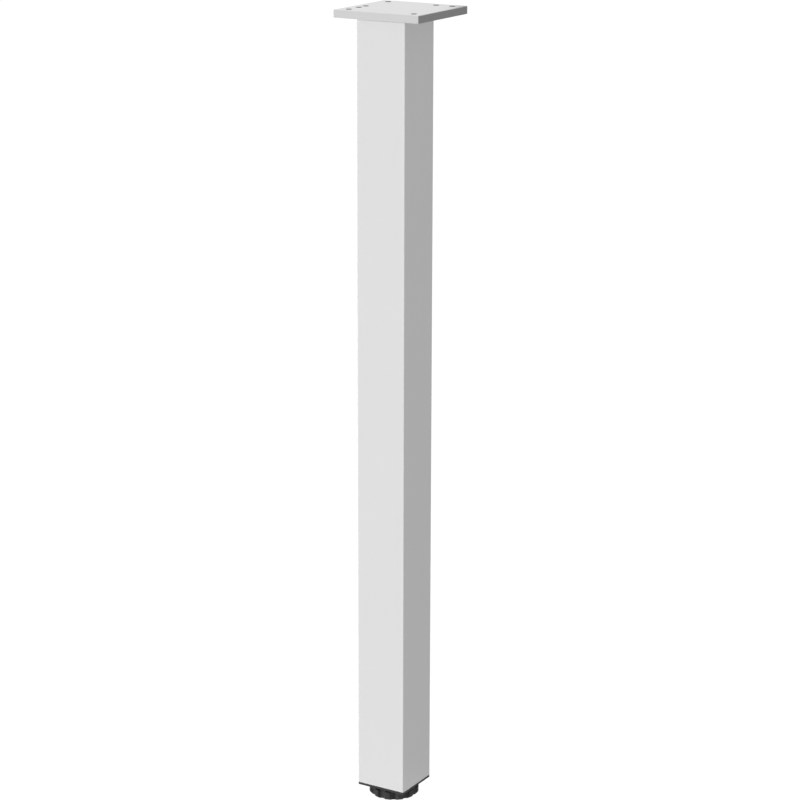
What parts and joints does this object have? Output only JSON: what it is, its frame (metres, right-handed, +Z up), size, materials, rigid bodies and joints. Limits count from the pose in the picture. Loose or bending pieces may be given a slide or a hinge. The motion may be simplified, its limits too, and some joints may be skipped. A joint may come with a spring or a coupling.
{
  "type": "square metal table leg",
  "caption": "Square tubular table leg with an off-centre screw plate on top and a scalloped levelling foot that screws out of a plug in its lower end.",
  "frame": {"origin": "on the floor under the foot, on the tube's axis, with the foot screwed fully in", "axes": "+Z up along the tube to the plate; X and Y square to the tube's faces"},
  "size_m": [0.104, 0.104, 0.9],
  "materials": {
    "coated_steel": "light grey powder coat, satin",
    "cast_aluminium": "die cast, satin",
    "black_plastic": "injection moulded, fine grain",
    "plated_steel": "zinc plated"
  },
  "bodies": {
    "leg": {"leg_tube": "coated_steel", "top_plate": "cast_aluminium", "end_plug": "black_plastic", "spindle_nut": "plated_steel"},
    "spindle": {"foot_spindle": "plated_steel"},
    "foot": {"foot_base": "black_plastic"}
  },
  "joints": [
    {"name": "spindle_travel", "type": "slide", "parent": "leg", "child": "spindle", "axis": [0, 0, -1], "range_m": [0, 0.02]},
    {"name": "foot_turn", "type": "hinge", "parent": "spindle", "child": "foot", "pos_m": [0, 0, 0.0045], "axis": [0, 0, -1], "range_deg": [0, 4800]}
  ],
  "couplings": [
    {"joint": "spindle_travel", "follows": "foot_turn", "m_per_rad": 0.00023873}
  ]
}
